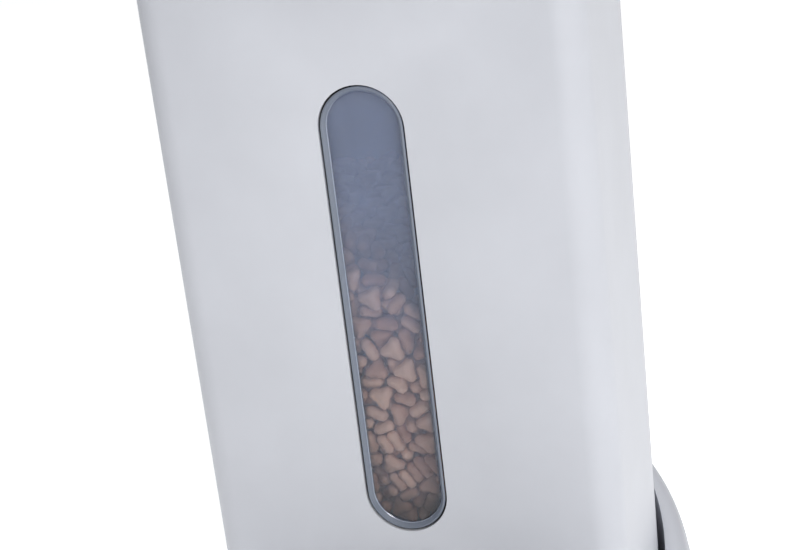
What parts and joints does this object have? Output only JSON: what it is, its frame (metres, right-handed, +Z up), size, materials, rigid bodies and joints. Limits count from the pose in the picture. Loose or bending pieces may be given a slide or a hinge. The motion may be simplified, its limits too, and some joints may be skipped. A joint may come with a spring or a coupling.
{
  "type": "automatic pet feeder",
  "caption": "Automatic pet feeder: upright food tower with a long sight window, metering wheel, lidded lift-out tank, and a steel bowl in a pull-out front on a flared base.",
  "frame": {"origin": "on the floor under the middle of the footprint", "axes": "+Z up, -Y to the front where the bowl and window are, +X to the right when facing +Y"},
  "size_m": [0.243, 0.331, 0.4047],
  "materials": {
    "shell": "fine satin ABS, cool white",
    "shell_button": "satin ABS",
    "plate": "moulded ABS, light grey",
    "feet": "moulded rubber",
    "screws": "zinc plated steel",
    "steel": "spun stainless steel",
    "smoked_lens": "clear blue-grey acrylic, polished",
    "black_rubber": "soft black rubber",
    "smoked_tank": "clear polycarbonate",
    "kibble": "dry baked pet food",
    "pin_steel": "ground steel rod",
    "liner": "polypropylene",
    "silicone": "translucent silicone",
    "spring_steel": "nickel plated spring steel",
    "inner_plastic": "moulded ABS",
    "wheel_plastic": "food grade polypropylene",
    "gear_plastic": "acetal",
    "gearbox_plastic": "glass filled nylon",
    "motor_steel": "plated can",
    "bracket_steel": "zinc plated sheet",
    "black_plastic": "moulded plastic",
    "panel_gloss": "dark acrylic, polished",
    "button_plastic": "satin ABS",
    "light_pipe": "clear acrylic",
    "board": "green solder mask",
    "speaker_black": "paper cone in a plastic frame",
    "inlet_metal": "nickel plated shell",
    "cell_wrap": "plain film wrap"
  },
  "bodies": {
    "housing": {"tower_shell": "shell", "base_shell": "shell", "base_plate": "plate", "rubber_feet": "feet", "base_screws": "screws", "window_lens": "smoked_lens", "window_gasket": "black_rubber", "dispenser_housing": "inner_plastic", "gearbox": "gearbox_plastic", "motor": "motor_steel", "motor_bracket": "bracket_steel", "chute": "inner_plastic", "chute_sensors": "black_plastic", "panel_lens": "panel_gloss", "display_module": "black_plastic", "light_pipe": "light_pipe", "main_board": "board", "tact_switches": "black_plastic", "speaker": "speaker_black", "power_inlet": "inlet_metal", "battery_box": "inner_plastic", "batteries": "cell_wrap", "battery_contacts": "spring_steel"},
    "tank": {"food_tank": "smoked_tank", "kibble": "kibble", "hinge_pin": "pin_steel"},
    "lid": {"lid_shell": "shell", "lid_liner": "liner", "lid_seal": "silicone", "latch_spring": "spring_steel", "desiccant_cup": "liner"},
    "lid_button": {"lid_button": "shell_button"},
    "desiccant_cover": {"desiccant_cover": "liner"},
    "wheel": {"food_wheel": "wheel_plastic", "wheel_wipers": "silicone", "wheel_shaft": "pin_steel", "agitator": "wheel_plastic", "drive_gear": "gear_plastic"},
    "pinion": {"motor_pinion": "gear_plastic", "gearbox_shaft": "pin_steel"},
    "flap": {"chute_flap": "inner_plastic"},
    "tray": {"bowl_tray": "shell"},
    "bowl": {"bowl": "steel"},
    "battery_door": {"battery_door": "plate"},
    "button_set": {"button_set": "button_plastic"},
    "button_lock": {"button_lock": "button_plastic"},
    "button_feed": {"button_feed": "button_plastic"}
  },
  "joints": [
    {"name": "tank_lift", "type": "slide", "parent": "housing", "child": "tank", "axis": [0, 0, 1], "range_m": [0, 0.28]},
    {"name": "lid_hinge", "type": "hinge", "parent": "tank", "child": "lid", "pos_m": [0, 0.146, 0.3905], "axis": [-1, 0, 0], "range_deg": [0, 100]},
    {"name": "lid_button_press", "type": "slide", "parent": "lid", "child": "lid_button", "axis": [0, 0, -1], "range_m": [0, 0.002], "stiffness_N_per_m": 600, "springref_m": -0.002},
    {"name": "desiccant_cover_turn", "type": "hinge", "parent": "lid", "child": "desiccant_cover", "pos_m": [0, 0.044, 0.3724], "axis": [0, 0, 1], "range_deg": [0, 40]},
    {"name": "food_wheel_spin", "type": "hinge", "parent": "housing", "child": "wheel", "pos_m": [0, 0.026, 0.11], "axis": [0, 0, 1], "continuous": true},
    {"name": "motor_pinion_spin", "type": "hinge", "parent": "housing", "child": "pinion", "pos_m": [0, 0.044, 0.088], "axis": [0, 0, 1], "continuous": true},
    {"name": "chute_flap_swing", "type": "hinge", "parent": "housing", "child": "flap", "pos_m": [0, -0.0366, 0.078], "axis": [-1, 0, 0], "range_deg": [0, 70]},
    {"name": "tray_pull", "type": "slide", "parent": "housing", "child": "tray", "axis": [0, -1, 0], "range_m": [0, 0.14]},
    {"name": "bowl_lift", "type": "slide", "parent": "tray", "child": "bowl", "axis": [0, 0, 1], "range_m": [0, 0.1]},
    {"name": "battery_door_slide", "type": "slide", "parent": "housing", "child": "battery_door", "axis": [0, 1, 0], "range_m": [0, 0.12]},
    {"name": "button_set_press", "type": "slide", "parent": "housing", "child": "button_set", "axis": [0, 1, 0], "range_m": [0, 0.0009], "stiffness_N_per_m": 800, "springref_m": -0.001},
    {"name": "button_lock_press", "type": "slide", "parent": "housing", "child": "button_lock", "axis": [0, 1, 0], "range_m": [0, 0.0009], "stiffness_N_per_m": 800, "springref_m": -0.001},
    {"name": "button_feed_press", "type": "slide", "parent": "housing", "child": "button_feed", "axis": [0, 1, 0], "range_m": [0, 0.0009], "stiffness_N_per_m": 800, "springref_m": -0.001}
  ],
  "couplings": [
    {"joint": "motor_pinion_spin", "follows": "food_wheel_spin", "ratio": -2}
  ]
}
